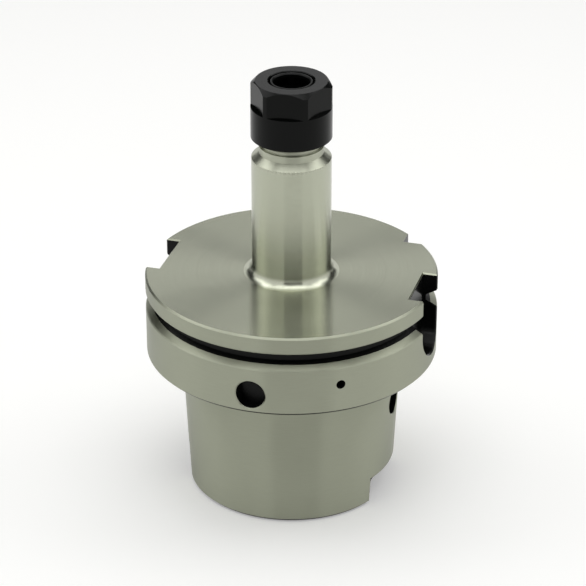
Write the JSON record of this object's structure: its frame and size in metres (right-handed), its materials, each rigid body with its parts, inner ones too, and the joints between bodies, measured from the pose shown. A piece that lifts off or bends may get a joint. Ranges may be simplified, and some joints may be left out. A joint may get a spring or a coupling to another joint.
{
  "type": "collet chuck holder",
  "caption": "Hollow-taper-shank tool holder with a slotted gripper flange, a slim neck and a black hexagon nut that clamps a spring collet.",
  "frame": {"origin": "centre of the flange's contact face, on the shank's axis", "axes": "+Z along the axis towards the tool; +X through the access hole, the shallow keyway and the narrow flange slot"},
  "size_m": [0.1, 0.1, 0.1492],
  "materials": {
    "ground_steel": "ground and fine-turned, bare; grooves, slots and holes black oxide",
    "black_oxide": "black oxide, semi-gloss",
    "dark_steel": "black oxide, satin",
    "spring_steel": "drawn square wire",
    "black_screw": "black oxide"
  },
  "bodies": {
    "holder": {"holder_body": "ground_steel"},
    "ring": {"thrust_ring": "dark_steel"},
    "nut": {"clamping_nut": "black_oxide", "snap_ring": "spring_steel"},
    "stop": {"stop_screw": "black_screw"}
  },
  "joints": [
    {"name": "nut_turn", "type": "hinge", "parent": "ring", "child": "nut", "pos_m": [0, 0, 0.089], "axis": [0, 0, 1], "range_deg": [0, 2160]},
    {"name": "ring_travel", "type": "slide", "parent": "holder", "child": "ring", "axis": [0, 0, 1], "range_m": [0, 0.009]},
    {"name": "stop_travel", "type": "slide", "parent": "holder", "child": "stop", "axis": [0, 0, 1], "range_m": [0, 0.012]}
  ],
  "couplings": [
    {"joint": "ring_travel", "follows": "nut_turn", "m_per_rad": 0.00023873}
  ]
}
